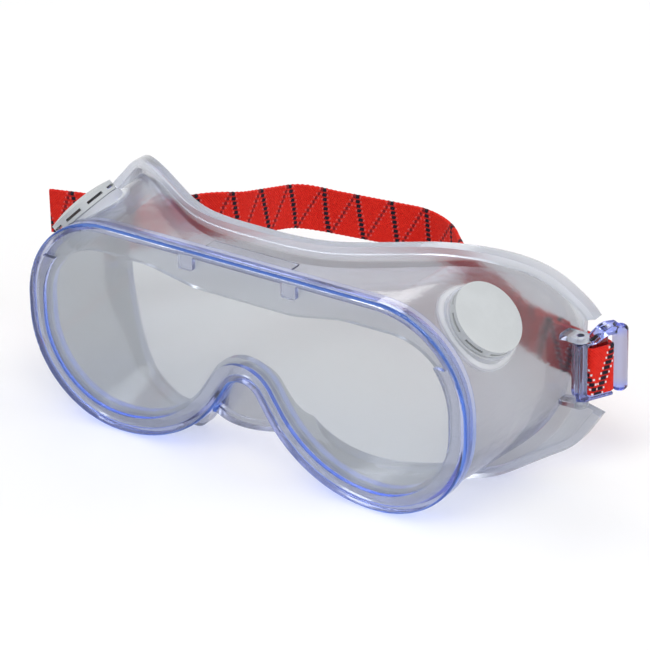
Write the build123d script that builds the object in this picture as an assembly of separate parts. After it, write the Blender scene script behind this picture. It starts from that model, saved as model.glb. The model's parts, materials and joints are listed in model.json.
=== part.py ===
from build123d import *
from math import cos, radians, sin, sqrt
import os

# Splash goggles: soft frame, flat lens, two vents, two strap buckles and a head strap.

os.makedirs("parts", exist_ok=True)

# ---- driving dimensions, mm -------------------------------------------------
# X runs across the face with +X at the wearer's left, -Y is the front and Z is up.
# The rim's front face is the plane Y = 0. Heights are drawn from the notch's apex, and
# the saved parts have their origin on the bridge of the rim, BRIDGE_Z above that.
BRIDGE_Z = 3.0
REST_Z = -32.5                     # the goggles stand on this level

# rim outline: side, top, bottom, lobe corner, notch apex, then the corner radii
RIM = dict(side=75, top=32.2, bottom=REST_Z, lobe=20.4, apex=0.3, radii=(29, 31, 41, 6))
BACK = dict(side=79.5, top=32.8, bottom=REST_Z + 0.8, lobe=20.4, apex=1.6, radii=(27, 30, 40, 7))
RIM_DEPTH = 6.0
RIM_ROUND = 0.9
RIM_WALL = 2.1                     # rim band outside the lens
LIP_WIDTH = 5.5                    # front lip, measured from the rim edge
LIP_THICK = 1.5
SEAT_WIDTH = 6.6                   # shelf behind the lens, measured from the rim edge
STEP = (69, 17.5)                  # where the front lip stops, each side
TAB_X = (15, 20)                   # retaining tabs on the upper edge
TAB_Z = 26.0
LENS_THICK = 1.8
LENS_GAP = 0.15
SEAT_FRONT = LIP_THICK + LENS_THICK + 2 * LENS_GAP
BODY_INSET = 1.5                   # the body is this much smaller than the rim
WALL = 2.0
BACK_Y = 66.0

FLANGE_SIDE = 89.5
FLANGE_TOP = 38.2
FLANGE_THICK = 2.0
BEAD_THICK = 3.2
BEAD_WIDTH = 2.4

PLATE = (-15, 14, 6.8, 10.8, 30.2, 31.4)    # blank raised plate on the brow, six limits

# plan curves of the head at three heights, for X >= 0
HEAD = {
    48: [(0, 13.5), (20, 15.5), (37, 25), (51, 34.5), (61, 42), (71, 49), (82, 55), (98, 60)],
    0: [(0, 13.5), (20, 15.5), (37, 24), (51, 33), (63, 43), (73, 50.5), (83, 54), (98, 55)],
    -40: [(0, 13.5), (20, 15.5), (37, 22), (51, 29.5), (65, 37.5), (76, 43), (84, 46), (98, 49)],
}
NOSE = [(-45, 14.5, 20.0), (15, 28.5, 13.0)]       # height, centre Y, radius

VENT_SEAT = (66.9, 20.5, 22.9)     # crown of the corner, under the cap
VENT_AXIS = (0.70, -0.08, 0.71)
BOSS_D = 22.8
BOSS_IN = 4.6
BOSS_OUT = 0.8
VENT_BORE = 13.2
BARREL_D = 13.0
BARREL_BORE = 9.6
BASE_D = 19.0
BASE_THICK = 1.2
HUB_D = 5.4
PIN_D = 3.0
PIN_FIT = 0.05                     # radial running clearance of pins in their bores
CAP_D = 21.6
CAP_FOOT = 1.1
CAP_TOP = 4.6
CAP_DOME = 0.9
CAP_SKIRT = 1.0
RING_D = 17.0
RING_THICK = 1.3

HINGE = (82.3, 47.8)               # vertical hinge of the left buckle, in plan
BUCKLE_TURN = 62.6                 # degrees from +X to the buckle's length
BUCKLE_DEPTH = 4.4
POCKET = [(80.6, -10.6), (96, -15.5), (96, 18), (80.6, 14.4)]    # room cut in the frame round it
POCKET_Y = (44, 66)
POST_S = 13.0                      # round outer post, measured from the hinge
POST_R = 2.3
POST_ROUND = 1.4                   # both ends of the post
POST_Z = (-8.3, 11.8)              # joined to the loop at the top, free at the bottom
POST_SLOT = 9.6                    # the lower bar stops here
BAR_S = (3.0, 8.8)                 # flat centre bar the strap wraps
BAR_Z = (-7.7, 9.8)
BAR_THICK = 1.6
TRUNNION_R = 1.1
EAR_R = 2.5
EAR_THICK = 1.6
EAR_ROOT = 5.4                     # from the trunnion's axis back into the wall
EAR_Z = (-10.1, 10.2)              # undersides of the lower and upper ears

STRAP_THICK = 1.4
STRAP_Z = (-7.0, 7.6)
STRAP_SAG = [(-66, 0), (-50, -8), (-4, -19.5), (60, 0)]     # X and the drop of the band there


# ---- outlines ---------------------------------------------------------------
def outline(shape, inset=0.0):
    """Goggle front outline, moved inward by inset, as a face in the XZ plane at Y = 0."""
    run, rise = shape["lobe"], shape["apex"] - shape["bottom"]
    slant = sqrt(run * run + rise * rise)
    side, top = shape["side"] - inset, shape["top"] - inset
    bottom = shape["bottom"] + inset
    apex = shape["apex"] + inset * slant / run
    lobe = (apex - bottom) * run / rise
    upper, lower, cheek, notch = shape["radii"]
    points = [(-side, top), (side, top), (side, bottom), (lobe, bottom)]
    points += [(0, apex), (-lobe, bottom), (-side, bottom)]
    radii = [upper - inset, upper - inset, lower - inset, cheek - inset]
    radii += [notch + inset, cheek - inset, lower - inset]
    return rounded(points, radii)


def rounded(points, radii):
    """Closed polygon with one radius per corner, drawn in the XZ plane."""
    wire = FilletPolyline(*points, radius=radii, close=True)
    return Plane.XZ * make_face(wire)


def slab(face, y0, y1):
    """Extrude a face of the XZ plane from y0 to y1."""
    return Pos(0, y0, 0) * extrude(face, amount=y1 - y0, dir=(0, 1, 0))


def tube(front, back, y0, y1):
    """Straight-sided body between two outlines of the same layout."""
    return loft([Pos(0, y0, 0) * front, Pos(0, y1, 0) * back], ruled=True)


def block(x0, x1, y0, y1, z0, z1):
    """Box from its six limits."""
    return Pos((x0 + x1) / 2, (y0 + y1) / 2, (z0 + z1) / 2) * Box(x1 - x0, y1 - y0, z1 - z0)


# ---- frame ------------------------------------------------------------------
def face_space(grow=0.0):
    """The wearer's face behind the goggles, moved forward by grow."""
    sections = []
    for height, half in sorted(HEAD.items()):
        moved = [(x + 0.4 * grow * min(1, x / 40), y - grow) for x, y in half]
        curve = [(-x, y) for x, y in reversed(moved[1:])] + moved
        front = Spline(*curve)
        reach = curve[-1][0]
        sides = Polyline(curve[-1], (reach, 90), (-reach, 90), curve[0])
        sections.append(Pos(0, 0, height) * make_face([front, sides]))
    nose = [Pos(0, y, z) * make_face(CenterArc((0, 0), r + grow, 0, 360)) for z, y, r in NOSE]
    return loft(sections) + loft(nose, ruled=True)


def flange_outline():
    """Outer edge of the face seal seen from the front."""
    side, top = FLANGE_SIDE, FLANGE_TOP
    half = [(62, top), (side, 11), (side, -10), (82, -22.5), (63, REST_Z), (24, REST_Z), (13.5, -18.8)]
    radii = [45, 30, 14, 14, 20, 10, 9]
    other = [(-x, z) for x, z in reversed(half)]
    return rounded(half + other, radii + radii[::-1])


def brow_opening():
    """Opening in the lens seat; its upper edge dips over the nose."""
    dip = [(-69, 22.4), (-33, 22.4), (-17, 19.3), (17, 19.3), (33, 22.4), (69, 22.4)]
    radii = [20, 30, 30, 30, 30, 20]
    below = [(69, -40), (-69, -40)]
    return outline(RIM, SEAT_WIDTH) & rounded(dip + below, radii + [1, 1])


def lens_mouth():
    """Front opening: full width above the steps, behind the lip elsewhere, less the two tabs."""
    x, z = STEP
    crown = outline(RIM, RIM_WALL) & rounded([(-x, z), (x, z), (x, 40), (-x, 40)], [1, 1, 1, 1])
    mouth = outline(RIM, LIP_WIDTH) + crown
    for side in (-1, 1):
        x0, x1 = sorted(side * value for value in TAB_X)
        mouth -= rounded([(x0, TAB_Z), (x1, TAB_Z), (x1, 40), (x0, 40)], [0.8, 0.8, 0.8, 0.8])
    return mouth


def vent_plane(side):
    """Frame of a vent: Z along its axis, origin on the crown of the corner."""
    x, y, z = VENT_SEAT
    ax, ay, az = VENT_AXIS
    return Plane(origin=(side * x, y, z), x_dir=(0, 1, 0), z_dir=(side * ax, ay, az))


def disc(diameter, z0, z1):
    """Cylinder on the local Z axis between two heights."""
    return Pos(0, 0, z0) * extrude(Circle(diameter / 2), amount=z1 - z0)


def ears():
    """Two ears on the left wall of the body that carry the buckle's trunnions."""
    x, y = HINGE
    plan = Pos(x, y) * Circle(EAR_R) + Pos(x - EAR_ROOT / 2, y) * Rectangle(EAR_ROOT, 2 * EAR_R)
    plan -= Pos(x, y) * Circle(TRUNNION_R + PIN_FIT)
    lower, upper = [Pos(0, 0, z) * extrude(plan, amount=EAR_THICK) for z in EAR_Z]
    return lower + upper


def rim_band():
    """Outer band of the rim with its two outer edges rounded."""
    band = slab(outline(RIM), 0, RIM_DEPTH)
    return fillet(band.edges().filter_by(Plane.XZ), RIM_ROUND)


def goggle_frame():
    """Soft one-piece moulding: rim, lens channel, body, face seal, vent bosses and ears."""
    front = outline(RIM, BODY_INSET)
    outer = tube(front, outline(BACK), 3.0, BACK_Y)
    hollow = tube(outline(RIM, BODY_INSET + WALL), outline(BACK, WALL), RIM_DEPTH, BACK_Y + 0.1)
    thin, thick = face_space(FLANGE_THICK), face_space(BEAD_THICK)
    seal = slab(flange_outline(), -1, BACK_Y) & thin
    edge = flange_outline() - offset(flange_outline(), amount=-BEAD_WIDTH)
    bead = slab(edge, -1, BACK_Y) & thick
    body = rim_band() + outer + seal + bead + block(*PLATE)
    for side in (-1, 1):
        body += vent_plane(side) * disc(BOSS_D, -BOSS_IN, BOSS_OUT)
    body -= hollow
    for side in (-1, 1):
        plane = vent_plane(side)
        body += plane * disc(BOSS_D - 4, -BOSS_IN, 0)
        body -= plane * disc(VENT_BORE, -9, 9)
    body -= face_space()
    body -= slab(lens_mouth(), -1, LIP_THICK + 0.1)
    body -= slab(outline(RIM, RIM_WALL), LIP_THICK, SEAT_FRONT)
    body -= slab(brow_opening(), SEAT_FRONT - 0.1, RIM_DEPTH + 0.1)
    pocket = slab(rounded(POCKET, [0.5, 2, 2, 0.5]), *POCKET_Y)
    body -= pocket
    body -= mirror(pocket, about=Plane.YZ)
    body += ears()
    body += mirror(ears(), about=Plane.YZ)
    return body


def lens():
    """Flat lens held in the frame channel."""
    y0 = LIP_THICK + LENS_GAP
    return slab(outline(RIM, RIM_WALL + LENS_GAP), y0, y0 + LENS_THICK)


# ---- vents ------------------------------------------------------------------
def vent_base():
    """Rigid seat pushed through the boss: flange, barrel, four spokes and a hub."""
    top = BOSS_OUT + BASE_THICK
    low = -BOSS_IN - RING_THICK - 0.5
    base = disc(BASE_D, BOSS_OUT, top) + disc(BARREL_D, low, top) - disc(BARREL_BORE, low, top)
    for turn in (0, 90):
        base += Rot(0, 0, turn) * block(-BARREL_D / 2 + 0.5, BARREL_D / 2 - 0.5, -0.6, 0.6, -2, top)
    return base + disc(HUB_D, -4, top) - disc(PIN_D + 2 * PIN_FIT, -4, top)


def vent_lock_ring():
    """Ring snapped on the barrel inside the body; it clamps the boss."""
    top = -BOSS_IN - 0.1
    return disc(RING_D, top - RING_THICK, top) - disc(BARREL_D + 0.1, top - RING_THICK, top)


def vent_cap():
    """Domed button with a slotted skirt and a centre pin that turns in the hub."""
    edge = CAP_D / 2
    rise = Line((0, CAP_TOP + CAP_DOME), (0, CAP_TOP - 1.4))
    peak, shoulder = (0, CAP_TOP + CAP_DOME), (edge, CAP_TOP - 0.4)
    crown = ThreePointArc(peak, (edge / 2, CAP_TOP + 0.72 * CAP_DOME), shoulder)
    under = Polyline(shoulder, (edge, CAP_FOOT), (edge - CAP_SKIRT, CAP_FOOT),
                     (edge - CAP_SKIRT, CAP_TOP - 1.4), (0, CAP_TOP - 1.4))
    profile = Plane.XZ * make_face([rise, crown, under])
    cap = revolve(profile, Axis.Z)
    for slot in range(8):
        cutter = block(edge - 2.2, edge + 1, -2.9, 2.9, 2.1, 2.9)
        cap -= Rot(0, 0, 45 * slot + 22.5) * cutter
    return cap + disc(PIN_D, -3.4, CAP_TOP)


# ---- strap and buckles ------------------------------------------------------
def buckle():
    """Clear loop in its own frame: hinge bar at X = 0, flat centre bar, round outer post.

    The lower bar stops short of the post, so the strap can be slipped in from below."""
    half = BUCKLE_DEPTH / 2
    outer = [(-1.6, -8.3), (POST_SLOT, -8.3), (POST_SLOT, -7.3), (1.1, -7.3), (1.1, 8.9), (4, 8.9)]
    outer += [(7.6, 10.6), (11.8, 10.2), (13, 12.6), (8, 13.2), (2.9, 9.7), (-1.6, 9.7)]
    hook = rounded(outer, [2.5, 0.4, 0.4, 0.8, 1, 2, 3, 0.8, 0.8, 4, 2, 1.2])
    body = slab(hook, -half, half)
    body = fillet(body.edges().filter_by(Plane.XZ), 0.3)
    post = Pos(POST_S, 0, POST_Z[0]) * extrude(Circle(POST_R), amount=POST_Z[1] - POST_Z[0])
    body += fillet(post.edges().filter_by(GeomType.CIRCLE), POST_ROUND)
    pin_length = EAR_Z[1] + EAR_THICK - EAR_Z[0]
    body += Pos(0, 0, EAR_Z[0]) * extrude(Circle(TRUNNION_R), amount=pin_length)
    bar = block(*BAR_S, -BAR_THICK / 2, BAR_THICK / 2, *BAR_Z)
    return body + fillet(bar.edges().filter_by(Axis.Z), 0.7)


def placed_buckle():
    """Left buckle in the goggle frame."""
    return Pos(*HINGE, 0) * Rot(0, 0, BUCKLE_TURN) * buckle()


def buckle_point(s, n):
    """Plan position of a point s along the left buckle and n outward from it."""
    turn = radians(BUCKLE_TURN)
    return (HINGE[0] + s * cos(turn) + n * sin(turn), HINGE[1] + s * sin(turn) - n * cos(turn))


def strap_path():
    """Plan centreline of the strap, from the short left tail to the free right tail."""
    wrap = (BAR_THICK + STRAP_THICK) / 2 + 0.25
    near, far = BAR_S[0] - 0.95, BAR_S[1] + 0.95
    left = [(60, 60.2), (79.6, 55.9), buckle_point(6.2, -wrap), buckle_point(near, -wrap)]
    left += [buckle_point(near, wrap), buckle_point(far, wrap), buckle_point(far, -1.2)]
    right = [(80.2, 60.3), buckle_point(7.2, -2.0), buckle_point(near, -wrap)]
    right += [buckle_point(near, wrap), buckle_point(8.5, wrap), buckle_point(12, 4.4)]
    right += [(98.7, 58), (110.3, 54.6)]
    back = [(57, 62.7), (-16.4, 134), (-54, 110.7), (-62, 86)]
    points = left + back + [(-x, y) for x, y in right]
    radii = [3, 1.6, 1.6, 1.6, 1.3, 1.3, 25, 14, 22, 25, 3, 2, 1.6, 1.6, 3, 3, 8]
    return FilletPolyline(*points, radius=radii)


def head_strap():
    """Elastic band threaded through both buckles; it sags behind the head."""
    band = make_face(offset(strap_path(), amount=STRAP_THICK / 2, side=Side.BOTH))
    low, high = STRAP_Z
    drops = [(-130, 0)] + STRAP_SAG + [(130, 0)]
    edge = [(x, low + drop) for x, drop in drops] + [(x, high + drop) for x, drop in drops[::-1]]
    bends = [1, 20, 30, 30, 20, 1]
    front_view = slab(rounded(edge, bends + bends), 0, 200)
    return Pos(0, 0, -40) * extrude(band, amount=60) & front_view


def save(shape, name):
    """Write one node with the origin moved to the bridge of the rim's front face."""
    export_step(Pos(0, 0, -BRIDGE_Z) * shape, f"parts/{name}.step")


for side, label in ((1, "left"), (-1, "right")):
    cover = vent_plane(side)
    save(cover * vent_base(), f"vent_base_{label}")
    save(cover * vent_lock_ring(), f"vent_lock_ring_{label}")
    save(cover * vent_cap(), f"vent_cap_{label}")
save(placed_buckle(), "strap_buckle_left")
save(mirror(placed_buckle(), about=Plane.YZ), "strap_buckle_right")
save(head_strap(), "head_strap")
save(goggle_frame(), "goggle_frame")
save(lens(), "lens")
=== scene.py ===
import json
from math import atan2, ceil, cos, pi, radians, sin, tan

import bmesh
import bpy
from mathutils import Matrix, Vector


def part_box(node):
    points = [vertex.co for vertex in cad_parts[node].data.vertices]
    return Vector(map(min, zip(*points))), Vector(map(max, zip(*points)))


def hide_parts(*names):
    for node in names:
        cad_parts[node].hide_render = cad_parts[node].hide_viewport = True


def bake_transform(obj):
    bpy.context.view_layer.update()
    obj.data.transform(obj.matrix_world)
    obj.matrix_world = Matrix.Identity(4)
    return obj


# Splash goggles. Metres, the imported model's own frame: +X the wearer's left, -Y the front, +Z up.
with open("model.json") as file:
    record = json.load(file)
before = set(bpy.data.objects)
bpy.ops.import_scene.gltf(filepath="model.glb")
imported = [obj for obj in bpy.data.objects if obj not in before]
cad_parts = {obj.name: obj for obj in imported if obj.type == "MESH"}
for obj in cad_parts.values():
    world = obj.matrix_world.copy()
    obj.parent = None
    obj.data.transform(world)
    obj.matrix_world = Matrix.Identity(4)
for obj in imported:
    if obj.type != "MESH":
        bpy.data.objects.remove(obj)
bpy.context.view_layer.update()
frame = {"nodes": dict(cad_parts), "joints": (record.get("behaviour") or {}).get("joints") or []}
REST_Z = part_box("goggle_frame")[0].z

# ---- camera -------------------------------------------------------------------
CAMERA_AT = (0.5335, -0.7195, 0.4574)
CAMERA_AZIMUTH, CAMERA_ELEVATION, CAMERA_ROLL = radians(35), radians(26.56), radians(-1.34)
SENSOR, LENS = 36, 199.4     # millimetres


def make_camera():
    """Long lens from the wearer's left front, a little above."""
    data = bpy.data.cameras.new("camera")
    data.sensor_width, data.lens = SENSOR, LENS
    data.clip_start, data.clip_end = 0.05, 30
    camera = bpy.data.objects.new("camera", data)
    turn = Matrix.Rotation(CAMERA_AZIMUTH, 4, "Z") @ Matrix.Rotation(pi / 2 - CAMERA_ELEVATION, 4, "X")
    camera.matrix_world = Matrix.Translation(CAMERA_AT) @ turn @ Matrix.Rotation(CAMERA_ROLL, 4, "Z")
    bpy.context.scene.collection.objects.link(camera)
    bpy.context.scene.camera = camera


# ---- node helpers ---------------------------------------------------------------
class Tree:
    """A material's node tree with short calls for the nodes used here."""

    def __init__(self, name):
        self.material = bpy.data.materials.new(name)
        self.material.use_nodes = True
        self.nodes, self.links = self.material.node_tree.nodes, self.material.node_tree.links
        self.nodes.clear()

    def add(self, kind, settings=None, **inputs):
        """New node. Inputs are values or sockets, named with _ for a blank, or in_ and an index."""
        made = self.nodes.new("ShaderNode" + kind)
        for key, value in (settings or {}).items():
            setattr(made, key, value)
        for key, value in inputs.items():
            socket = made.inputs[int(key[3:]) if key.startswith("in_") else key.replace("_", " ")]
            if isinstance(value, bpy.types.NodeSocket):
                self.links.new(value, socket)
            else:
                socket.default_value = value
        return made

    def math(self, operation, *values):
        """Math node's result."""
        inputs = {f"in_{i}": value for i, value in enumerate(values)}
        return self.add("Math", {"operation": operation}, **inputs).outputs[0]

    def vector(self, operation, *values):
        """Vector Math node's result: a number for a length or a distance, or else a vector."""
        inputs = {f"in_{i}": value for i, value in enumerate(values)}
        made = self.add("VectorMath", {"operation": operation}, **inputs)
        return made.outputs["Value" if operation in ("LENGTH", "DISTANCE") else "Vector"]

    def ramp(self, value, low, high, to_low=0.0, to_high=1.0):
        """value taken smoothly from low..high to to_low..to_high."""
        made = self.add("MapRange", {"interpolation_type": "SMOOTHSTEP"}, in_0=value, in_1=low, in_2=high,
                        in_3=to_low, in_4=to_high)
        return made.outputs[0]

    def mix(self, share, first, second):
        """Colour between first and second."""
        made = self.add("Mix", {"data_type": "RGBA"}, in_0=share, in_6=first, in_7=second)
        return made.outputs[2]

    def noise(self, vector, scale, detail=3.0, roughness=0.5):
        """Noise value at a scale in cycles per metre."""
        made = self.add("TexNoise", Vector=vector, Scale=scale, Detail=detail, Roughness=roughness)
        return made.outputs[0]

    def lit_through(self, surface, tint):
        """Surface that lets tinted light pass to whatever stands behind it."""
        shadow = self.add("LightPath").outputs["Is Shadow Ray"]
        clear = self.add("BsdfTransparent", Color=(*tint, 1)).outputs[0]
        return self.add("MixShader", in_0=shadow, in_1=surface, in_2=clear).outputs[0]

    def finish(self, surface, volume=None):
        """Connects the shader and returns the material."""
        out = self.add("OutputMaterial", Surface=surface)
        if volume is not None:
            self.links.new(volume, out.inputs["Volume"])
        return self.material


SHARP_EDGE = radians(32)


def paint(node, material):
    """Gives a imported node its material."""
    mesh = frame["nodes"][node].data
    mesh.materials.clear()
    mesh.materials.append(material)
    mesh.shade_smooth()
    mesh.set_sharp_from_angle(angle=SHARP_EDGE)


# ---- materials --------------------------------------------------------------------
RIM_BACK, RIM_BLEND = 0.0060, 0.001      # Y where the rim ends, and the length of the change
BODY_HALF = Vector((0.0797, 0.0, 0.0323))
BODY_CORNER = 0.028
BODY_MID_Z = -0.0025
SEAL_BLEND = 0.0008
VENT_SEAT = Vector((0.0669, 0.0205, 0.0199))
BOSS_OUTER, BOSS_INNER = 0.0142, 0.0120  # distances from the vent seat
NOTCH_APEX, NOTCH_SLOPE, NOTCH_TOP = -0.0031, 1.608, -0.0086     # V under the bridge, and its rounded top
NOTCH_BLEND = 0.0006
WALL_GREY = (0.52, 0.53, 0.525, 1)
# The face seal's colour is painted light: a shaded grey low down, a lit pale grey over the brow, as if
# lit from above.
SEAL_LOW_Z, SEAL_BROW_Z = -0.010, 0.024
SEAL_SHADED, SEAL_LIT = (0.62, 0.64, 0.64, 1), (0.82, 0.84, 0.83, 1)
BOSS_WHITE = (0.78, 0.80, 0.81, 1)
RIM_CLEAR, RIM_BLUE = (0.96, 0.96, 0.97, 1), (0.10, 0.27, 0.90, 1)
FLANK_HIGH_Z, FLANK_LOW_Z = 0.012, -0.006
FLANK_HIGH, FLANK_LOW = 0.25, 0.8        # share of blue on the rim's flanks


def rim_mask(tree, x, y, z):
    """1 on the rim, 0 behind it and on the nose piece in the notch under the bridge."""
    slope = tree.math("MULTIPLY", tree.math("ABSOLUTE", x), NOTCH_SLOPE)
    notch = tree.math("MINIMUM", tree.math("SUBTRACT", NOTCH_APEX, slope), NOTCH_TOP)
    nose = tree.ramp(tree.math("SUBTRACT", notch, z), 0.0, NOTCH_BLEND)
    front = tree.ramp(y, RIM_BACK, RIM_BACK - RIM_BLEND)
    return tree.math("MULTIPLY", front, tree.math("SUBTRACT", 1.0, nose))


def seal_mask(tree, place):
    """1 on the face seal, which is what stands outside the body's rounded outline."""
    size = tree.vector("ABSOLUTE", tree.vector("SUBTRACT", place, (0, 0, BODY_MID_Z)))
    past = tree.vector("SUBTRACT", size, BODY_HALF - Vector((BODY_CORNER, 0, BODY_CORNER)))
    past = tree.vector("MAXIMUM", tree.vector("MULTIPLY", past, (1, 0, 1)), (0, 0, 0))
    outside = tree.math("SUBTRACT", tree.vector("LENGTH", past), BODY_CORNER)
    return tree.ramp(outside, 0.0, SEAL_BLEND)


def boss_mask(tree, x, y, z):
    """1 on the two raised rings that hold the vents."""
    folded = tree.add("CombineXYZ", X=tree.math("ABSOLUTE", x), Y=y, Z=z).outputs[0]
    return tree.ramp(tree.vector("DISTANCE", folded, VENT_SEAT), BOSS_OUTER, BOSS_INNER)


def edge_mask(tree, z, facing_y):
    """How blue the rim is: 0 on its front face, 1 on its rounded edges, less on its flat flanks."""
    flank = tree.ramp(z, FLANK_HIGH_Z, FLANK_LOW_Z, FLANK_HIGH, FLANK_LOW)
    edge = tree.ramp(tree.ramp(facing_y, 0.1, 0.3), 0, 1, flank, 1.0)
    return tree.math("MULTIPLY", tree.ramp(facing_y, 0.995, 0.93), edge)


def vinyl_bump(tree, place, flow, glossy):
    """Fine grain, stronger on the frosted walls, over slow waves of flow."""
    grain = tree.noise(place, 2600, 2, 0.6)
    strength = tree.ramp(glossy, 0, 1, 0.5, 0.1)
    fine = tree.add("Bump", Strength=strength, Distance=0.00002, Height=grain).outputs[0]
    return tree.add("Bump", Strength=0.10, Distance=0.0015, Height=flow, Normal=fine).outputs[0]


def frame_vinyl():
    """Soft clear vinyl: glossy rim and face seal, frosted body walls, blue in its depth. The seal has
    painted light: lighter over the brow, darker low down.
    """
    tree = Tree("frame_vinyl")
    coords = tree.add("TexCoord")
    place = coords.outputs["Object"]
    x, y, z = tree.add("SeparateXYZ", Vector=place).outputs
    normal_y = tree.add("SeparateXYZ", Vector=coords.outputs["Normal"]).outputs[1]
    rim, seal, boss = rim_mask(tree, x, y, z), seal_mask(tree, place), boss_mask(tree, x, y, z)
    edge = edge_mask(tree, z, tree.math("ABSOLUTE", normal_y))
    flow = tree.noise(place, 55, 4, 0.6)

    # Painted light and shade on the seal: lighter towards the brow, darker low down.
    seal_light_and_shade = tree.mix(tree.ramp(z, SEAL_LOW_Z, SEAL_BROW_Z), SEAL_SHADED, SEAL_LIT)
    wall = tree.mix(boss, tree.mix(seal, WALL_GREY, seal_light_and_shade), BOSS_WHITE)
    colour = tree.mix(rim, wall, tree.mix(edge, RIM_CLEAR, RIM_BLUE))
    rough = tree.math("ADD", tree.ramp(seal, 0, 1, 0.11, 0.18), tree.ramp(flow, 0.35, 0.7, -0.02, 0.03))
    rough = tree.math("ADD", tree.math("MULTIPLY", rough, tree.ramp(rim, 0, 1, 1, 0.3)), 0.01)
    clear = tree.ramp(seal, 0, 1, 0.92, 0.70)
    clear = tree.ramp(rim, 0, 1, clear, tree.ramp(edge, 0, 1, 0.97, 0.78))
    clear = tree.math("MULTIPLY", clear, tree.ramp(boss, 0, 1, 1.0, 0.4))
    bump = vinyl_bump(tree, place, flow, tree.math("MAXIMUM", rim, seal))
    vinyl = tree.add("BsdfPrincipled", Base_Color=colour, Roughness=rough, IOR=1.42,
                     Transmission_Weight=clear, Normal=bump)
    depth = tree.add("VolumeAbsorption", Color=(0.08, 0.22, 0.95, 1), Density=46)
    return tree.finish(tree.lit_through(vinyl.outputs[0], (0.96, 0.96, 0.97)), depth.outputs[0])


def lens_sheet():
    """Clear polycarbonate with faint handling marks."""
    tree = Tree("lens_sheet")
    place = tree.add("TexCoord").outputs["Object"]
    haze = tree.noise(place, 30, 5, 0.6)
    stretched = tree.add("Mapping", Vector=place, Rotation=(0, 0.5, 0), Scale=(1, 1, 14)).outputs[0]
    scratch = tree.ramp(tree.noise(stretched, 160, 2, 0.5), 0.70, 0.78)
    rough = tree.math("ADD", tree.ramp(haze, 0.3, 0.75, 0.03, 0.09), tree.math("MULTIPLY", scratch, 0.08))
    bump = tree.add("Bump", Strength=0.04, Distance=0.0004, Height=haze)
    glass = tree.add("BsdfPrincipled", Base_Color=(0.66, 0.69, 0.71, 1), Roughness=rough, IOR=1.5,
                     Transmission_Weight=0.74, Normal=bump.outputs[0])
    return tree.finish(tree.lit_through(glass.outputs[0], (0.90, 0.92, 0.93)))


def white_moulding(name, colour, rough):
    """White plastic with a faint moulded grain and clouding."""
    tree = Tree(name)
    place = tree.add("TexCoord").outputs["Object"]
    cloud = tree.noise(place, 90, 4, 0.6)
    grain = tree.noise(place, 1800, 2, 0.6)
    dull = tuple(0.93 * channel for channel in colour)
    tint = tree.mix(tree.ramp(cloud, 0.3, 0.7), (*colour, 1), (*dull, 1))
    varied = tree.ramp(cloud, 0.3, 0.7, rough, rough + 0.08)
    bump = tree.add("Bump", Strength=0.12, Distance=0.0001, Height=grain)
    body = tree.add("BsdfPrincipled", Base_Color=tint, Roughness=varied, IOR=1.5, Subsurface_Weight=0.15,
                    Subsurface_Radius=(0.002, 0.002, 0.002), Subsurface_Scale=0.5, Normal=bump.outputs[0])
    return tree.finish(body.outputs[0])


BUCKLE_MID_Z = -0.0012
BUCKLE_PLAIN, BUCKLE_TIP = 0.0065, 0.0095    # up or down from its middle
BUCKLE_GREY, BUCKLE_BLUE = (0.58, 0.57, 0.62, 1), (0.40, 0.46, 0.86, 1)


def buckle_plastic():
    """Clear hard plastic, bluer towards both ends of the buckle."""
    tree = Tree("buckle_plastic")
    place = tree.add("TexCoord").outputs["Object"]
    flow = tree.noise(place, 260, 3, 0.5)
    z = tree.add("SeparateXYZ", Vector=place).outputs[2]
    from_middle = tree.math("ABSOLUTE", tree.math("SUBTRACT", z, BUCKLE_MID_Z))
    tint = tree.mix(tree.ramp(from_middle, BUCKLE_PLAIN, BUCKLE_TIP), BUCKLE_GREY, BUCKLE_BLUE)
    rough = tree.ramp(flow, 0.3, 0.7, 0.04, 0.10)
    bump = tree.add("Bump", Strength=0.25, Distance=0.0004, Height=flow)
    glass = tree.add("BsdfPrincipled", Base_Color=tint, Roughness=rough, IOR=1.45,
                     Transmission_Weight=1.0, Normal=bump.outputs[0])
    depth = tree.add("VolumeAbsorption", Color=(0.30, 0.38, 0.96, 1), Density=80)
    return tree.finish(tree.lit_through(glass.outputs[0], (0.84, 0.86, 0.94)), depth.outputs[0])


ZIGZAG = 0.0107          # length of one V of the woven pattern
ZIGZAG_FILL = 0.92       # share of half a V that a leg leans over across the band
STRAP_WIDE = 0.0146
ROW = 0.0015             # pitch of the black floats across the band
DASH = (0.0020, 0.0013)  # length of one float on the falling and the rising leg
DASH_BLUR = 0.0002
FLECK_PAST = 0.00025     # from a float's end to the middle of its white fleck
FLECK_OUTER, FLECK_INNER = 0.00030, 0.00016
WOBBLE = 0.0006          # how far the floats wander along the strap
RIB = 0.00075            # pitch of the weave along the strap
RIB_ACROSS = 0.0009
HEAD_SIDE = 0.9          # added to the across coordinate on the side against the head
HEAD_DASH, HEAD_RISING, HEAD_FLECK = 0.75, 0.7, 0.10     # how much of the pattern that side shows
# The third red is painted shade for the weave's hollows.
RED, RED_DARK, RED_GROOVE_SHADE = (0.84, 0.024, 0.010, 1), (0.72, 0.014, 0.008, 1), (0.48, 0.010, 0.008, 1)
BLACK, WHITE = (0.012, 0.010, 0.020, 1), (0.80, 0.78, 0.80, 1)


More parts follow.
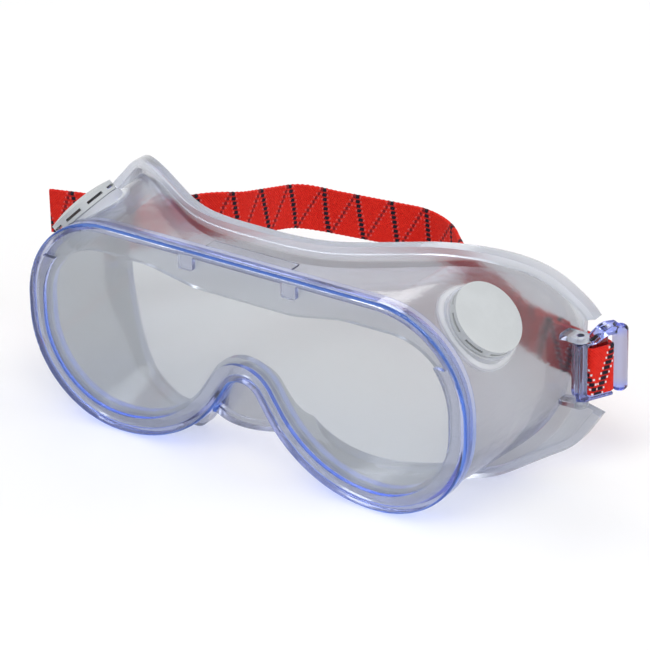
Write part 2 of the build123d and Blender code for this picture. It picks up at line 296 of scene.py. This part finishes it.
def woven_zigzag(tree, along, across, inside, place):
    """Masks of the black floats, in rows that step into a zigzag, and of the flecks at their ends."""
    drift = tree.math("SUBTRACT", tree.noise(place, 700, 2, 0.5), 0.5)
    moved = tree.math("ADD", along, tree.math("MULTIPLY", drift, WOBBLE))
    row = tree.math("DIVIDE", across, ROW)
    height = tree.math("MULTIPLY", tree.math("ADD", tree.math("FLOOR", row), 0.5), ROW)
    lean = tree.math("MULTIPLY", height, ZIGZAG / 2 * ZIGZAG_FILL / STRAP_WIDE)
    target = tree.math("ADD", lean, ZIGZAG / 4)
    wave = tree.math("PINGPONG", moved, ZIGZAG / 2)
    from_leg = tree.math("ABSOLUTE", tree.math("SUBTRACT", wave, target))
    rising = tree.math("GREATER_THAN", tree.math("FRACT", tree.math("DIVIDE", along, ZIGZAG)), 0.5)
    half = tree.ramp(rising, 0, 1, DASH[0] / 2, DASH[1] / 2)
    half = tree.math("MULTIPLY", half, tree.ramp(inside, 0, 1, 1.0, HEAD_DASH))
    past_end = tree.math("SUBTRACT", from_leg, half)
    in_row = tree.math("ABSOLUTE", tree.math("SUBTRACT", tree.math("FRACT", row), 0.5))
    float_row = tree.math("MAXIMUM", tree.ramp(in_row, 0.42, 0.34), 0.35)
    dash = tree.math("MULTIPLY", tree.ramp(past_end, 0, -DASH_BLUR), float_row)
    faint = tree.ramp(tree.math("MULTIPLY", inside, rising), 0, 1, 1.0, HEAD_RISING)
    from_fleck = tree.math("ABSOLUTE", tree.math("SUBTRACT", past_end, FLECK_PAST))
    fleck = tree.ramp(from_fleck, FLECK_OUTER, FLECK_INNER)
    fleck = tree.math("MULTIPLY", fleck, tree.ramp(in_row, 0.26, 0.16))
    fleck = tree.math("MULTIPLY", fleck, tree.ramp(inside, 0, 1, 1.0, HEAD_FLECK))
    return tree.math("MULTIPLY", dash, faint), fleck


def strap_elastic():
    """Red woven elastic with a black and white zigzag, fainter on the side against the head, with painted
    shade in the weave's hollows.

    The UV map holds places along and across the band in metres."""
    tree = Tree("strap_elastic")
    uv = tree.add("UVMap", {"uv_map": "weave"}).outputs[0]
    along, across, _ = tree.add("SeparateXYZ", Vector=uv).outputs
    inside = tree.math("GREATER_THAN", across, HEAD_SIDE / 2)
    across = tree.math("SUBTRACT", across, tree.math("MULTIPLY", inside, HEAD_SIDE))
    place = tree.add("TexCoord").outputs["Object"]
    fuzz = tree.noise(place, 900, 4, 0.7)
    dash, fleck = woven_zigzag(tree, along, across, inside, place)

    rib_along = tree.math("SINE", tree.math("MULTIPLY", along, 2 * pi / RIB))
    rib_across = tree.math("SINE", tree.math("MULTIPLY", across, 2 * pi / RIB_ACROSS))
    weave = tree.math("MULTIPLY", rib_along, rib_across)
    red = tree.mix(tree.ramp(fuzz, 0.3, 0.7), RED, RED_DARK)
    # Painted shade: the red is darker in the weave's hollows.
    red = tree.mix(tree.ramp(weave, -1, 1, 0.25, 0.0), red, RED_GROOVE_SHADE)
    dyed = tree.mix(fleck, tree.mix(dash, red, BLACK), WHITE)
    raised = tree.math("ADD", weave, tree.math("MULTIPLY", fuzz, 0.8))
    raised = tree.math("ADD", raised, tree.math("MULTIPLY", dash, 0.9))
    bump = tree.add("Bump", Strength=0.6, Distance=0.00025, Height=raised)
    rough = tree.ramp(fuzz, 0.3, 0.7, 0.75, 0.95)
    cloth = tree.add("BsdfPrincipled", Base_Color=dyed, Roughness=rough, Sheen_Weight=0.06,
                     Sheen_Roughness=0.5, Specular_IOR_Level=0.15, Normal=bump.outputs[0])
    return tree.finish(cloth.outputs[0])


# ---- strap ------------------------------------------------------------------------
STRAP_THICK = 0.0012
BAND_SHARP_EDGE = radians(50)
STRAP_MID_Z = -0.0027
STRAP_STEP = 0.0004
SAG = [(-0.13, 0), (-0.066, 0), (-0.050, -0.008), (-0.004, -0.0195), (0.060, 0), (0.13, 0)]   # X and drop
SAG_RADII = (0, 0.020, 0.030, 0.030, 0.020, 0)
EDGE_ROUND, EDGE_FLAT = 0.0003, 0.0012     # in from the band's edge
SELVEDGE_WAVE, SELVEDGE_PITCH = 0.00012, 0.0015
BUCKLE_TURN = radians(62.6)                # the buckles' lean in the plan, from +X
LAP = 0.00175                              # from the centre bar's middle to a layer round it
BAR_NEAR, BAR_FAR = 0.00205, 0.00975       # where the strap turns round the bar, out from the hinge
WRAP, FAR_WRAP = 0.0016, 0.0013            # radii of those turns


def joint_at(name):
    """Place of a joint at rest."""
    return Vector(next(joint["pos_m"] for joint in frame["joints"] if joint["name"] == name))


def buckle_point(s, n):
    """Plan position s along the left buckle from its hinge and n outward from it."""
    hinge = joint_at("buckle_swing_left")
    x = hinge.x + s * cos(BUCKLE_TURN) + n * sin(BUCKLE_TURN)
    return Vector((x, hinge.y + s * sin(BUCKLE_TURN) - n * cos(BUCKLE_TURN)))


def strap_corners():
    """Corners of the strap's plan line with their radii, from the left tail to the free right tail."""
    left = [(Vector((0.0600, 0.0602)), 0), (Vector((0.0796, 0.0559)), 0.003)]
    left += [(buckle_point(0.0062, -LAP), WRAP), (buckle_point(BAR_NEAR, -LAP), WRAP)]
    left += [(buckle_point(BAR_NEAR, LAP), WRAP), (buckle_point(BAR_FAR, LAP), FAR_WRAP)]
    left += [(buckle_point(BAR_FAR, -0.0012), FAR_WRAP)]
    back = [(Vector((0.0570, 0.0627)), 0.025), (Vector((-0.0164, 0.1340)), 0.014)]
    back += [(Vector((-0.0540, 0.1107)), 0.022), (Vector((-0.0620, 0.0860)), 0.025)]
    right = [(Vector((0.0802, 0.0603)), 0.003), (buckle_point(0.0072, -0.0020), 0.002)]
    right += [(buckle_point(BAR_NEAR, -LAP), WRAP), (buckle_point(BAR_NEAR, LAP), WRAP)]
    right += [(buckle_point(0.0085, LAP), 0.003), (buckle_point(0.0120, 0.0044), 0.003)]
    right += [(Vector((0.0987, 0.0580)), 0.008), (Vector((0.1103, 0.0546)), 0)]
    return left + back + [(Vector((-point.x, point.y)), radius) for point, radius in right]


def rounded_line(corners, step):
    """Points every step along straight runs joined by tangent arcs."""
    line = [corners[0][0]]
    for (before, _), (corner, radius), (after, _) in zip(corners, corners[1:], corners[2:]):
        into, out = (corner - before).normalized(), (after - corner).normalized()
        turn = atan2(into.x * out.y - into.y * out.x, into.dot(out))
        start = corner - into * radius * tan(abs(turn) / 2)
        side = Vector((-into.y, into.x)) * (1 if turn > 0 else -1)
        centre = start + side * radius
        count = max(2, ceil(radius * abs(turn) / step))
        for i in range(count + 1):
            line.append(centre + Matrix.Rotation(turn * i / count, 2) @ (start - centre))
    line.append(corners[-1][0])
    return evenly_spaced(line, step)


def evenly_spaced(line, step):
    """Points every step along a line of points."""
    even, left_over = [line[0]], 0.0
    for a, b in zip(line, line[1:]):
        length = (b - a).length
        while left_over + length >= step:
            a = a + (b - a).normalized() * (step - left_over)
            even.append(a)
            length, left_over = (b - a).length, 0.0
        left_over += length
    return even


def drop_at(x, profile):
    """How far the band has dropped at X, read off the rounded profile of the sag."""
    for before, after in zip(profile, profile[1:]):
        if before.x <= x <= after.x:
            return before.y + (after.y - before.y) * (x - before.x) / (after.x - before.x)
    return 0.0


def band_section():
    """Closed outline of the band's section: places across it and out of it."""
    half, thick = STRAP_WIDE / 2, STRAP_THICK / 2
    outer = [(half / 3, thick), (half - EDGE_FLAT, thick), (half - EDGE_ROUND, thick), (half, 0)]
    top = [(-v, w) for v, w in reversed(outer)] + outer
    return top + [(v, -w) for v, w in reversed(top[1:-1])]


def band_ring(mesh, section, point, out, up, along):
    """One ring of vertices, each with its place along, across and out of the band."""
    wave = SELVEDGE_WAVE * sin(2 * pi * along / SELVEDGE_PITCH)
    ring = []
    for v, w in section:
        if w == 0:
            v += wave if v > 0 else -wave
        ring.append((mesh.verts.new(point + out * w + up * v), along, v, w))
    return ring


def band_face(mesh, uv, ring, side):
    """Face on the given corners, with their places in its UV."""
    face = mesh.faces.new([corner[0] for corner in ring])
    for loop, (_, along, across, _) in zip(face.loops, ring):
        loop[uv].uv = (along, across + side)


def band(name, line, start, material):
    """Flat woven band along a line, with rounded edges and a finely waved selvedge."""
    section = band_section()
    mesh = bmesh.new()
    uv = mesh.loops.layers.uv.new("weave")
    rings = []
    for i, point in enumerate(line):
        tangent = (line[min(i + 1, len(line) - 1)] - line[max(i - 1, 0)]).normalized()
        out = Vector((tangent.y, -tangent.x, 0)).normalized()
        rings.append(band_ring(mesh, section, point, out, out.cross(tangent), start + i * STRAP_STEP))
    count = len(section)
    for first, second in zip(rings, rings[1:]):
        for k in range(count):
            quad = [first[k], second[k], second[(k + 1) % count], first[(k + 1) % count]]
            band_face(mesh, uv, quad, HEAD_SIDE if min(w for *_, w in quad) < 0 else 0.0)
    for ring in (rings[0][::-1], rings[-1]):
        band_face(mesh, uv, ring, 0.0)
    bmesh.ops.recalc_face_normals(mesh, faces=mesh.faces)
    data = bpy.data.meshes.new(name)
    mesh.to_mesh(data)
    mesh.free()
    data.materials.append(material)
    data.shade_smooth()
    data.set_sharp_from_angle(angle=BAND_SHARP_EDGE)
    piece = bpy.data.objects.new(name, data)
    bpy.context.scene.collection.objects.link(piece)
    return piece


def make_strap():
    """Two bands that meet behind the head, each passing through its own buckle."""
    material = strap_elastic()
    plan = rounded_line(strap_corners(), STRAP_STEP)
    sag = rounded_line([(Vector(point), radius) for point, radius in zip(SAG, SAG_RADII)], STRAP_STEP)
    line = [Vector((point.x, point.y, STRAP_MID_Z + drop_at(point.x, sag))) for point in plan]
    middle = max(range(len(line)), key=lambda i: line[i].y)
    halves = (("left", line[:middle + 1], 0.0), ("right", line[middle:], middle * STRAP_STEP))
    for side, part, start in halves:
        piece = band(f"head_strap_{side}", part, start, material)
        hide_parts("head_strap")
        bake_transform(piece)


# ---- stage --------------------------------------------------------------------------
FLOOR_HALF, FLOOR_GAP = 6, 0.0001
SURROUND = 0.62


def make_light(name, place, target, size, power):
    """White rectangular soft light aimed at a point."""
    data = bpy.data.lights.new(name, "AREA")
    data.shape = "RECTANGLE"
    data.size, data.size_y = size
    data.energy = power
    light = bpy.data.objects.new(name, data)
    light.location = place
    light.rotation_euler = (Vector(target) - Vector(place)).to_track_quat("-Z", "Y").to_euler()
    bpy.context.scene.collection.objects.link(light)


def make_floor():
    """Pale matt floor just under the goggles."""
    tree = Tree("floor")
    cloud = tree.noise(tree.add("TexCoord").outputs["Object"], 3, 3, 0.5)
    colour = tree.mix(cloud, (0.93, 0.93, 0.935, 1), (0.95, 0.95, 0.95, 1))
    surface = tree.add("BsdfPrincipled", Base_Color=colour, Roughness=0.9, Specular_IOR_Level=0.1)
    mesh = bmesh.new()
    bmesh.ops.create_grid(mesh, x_segments=8, y_segments=8, size=FLOOR_HALF)
    data = bpy.data.meshes.new("floor")
    mesh.to_mesh(data)
    mesh.free()
    data.materials.append(tree.finish(surface.outputs[0]))
    floor = bpy.data.objects.new("floor", data)
    floor.location = (0, 0, REST_Z - FLOOR_GAP)
    bpy.context.scene.collection.objects.link(floor)


def make_stage():
    """Floor, white surround and soft lights."""
    make_floor()
    world = bpy.data.worlds.new("surround")
    world.use_nodes = True
    sky = world.node_tree.nodes["Background"]
    sky.inputs["Color"].default_value = (1, 1, 1, 1)
    sky.inputs["Strength"].default_value = SURROUND
    bpy.context.scene.world = world
    make_light("key", (0.25, -0.55, 1.10), (0, 0.02, 0), (0.9, 0.5), 6.5)
    make_light("side", (1.10, 0.30, 0.55), (0.05, 0.03, 0), (0.3, 0.9), 3)
    make_light("back", (-0.60, 0.90, 0.80), (0, 0.03, 0), (0.9, 0.3), 3.5)
    scene = bpy.context.scene
    scene.view_settings.view_transform = "Standard"
    scene.cycles.transmission_bounces = 16
    scene.cycles.transparent_max_bounces = 24
    scene.cycles.max_bounces = 18
    scene.cycles.use_denoising = True


# ---- build ----------------------------------------------------------------------------
make_camera()
make_stage()
paint("goggle_frame", frame_vinyl())
paint("lens", lens_sheet())
cap = white_moulding("vent_cap_plastic", (0.55, 0.575, 0.59), 0.38)
inner = white_moulding("vent_inner_plastic", (0.70, 0.72, 0.73), 0.5)
clear = buckle_plastic()
for side in ("left", "right"):
    paint(f"vent_cap_{side}", cap)
    paint(f"vent_base_{side}", inner)
    paint(f"vent_lock_ring_{side}", inner)
    paint(f"strap_buckle_{side}", clear)
make_strap()
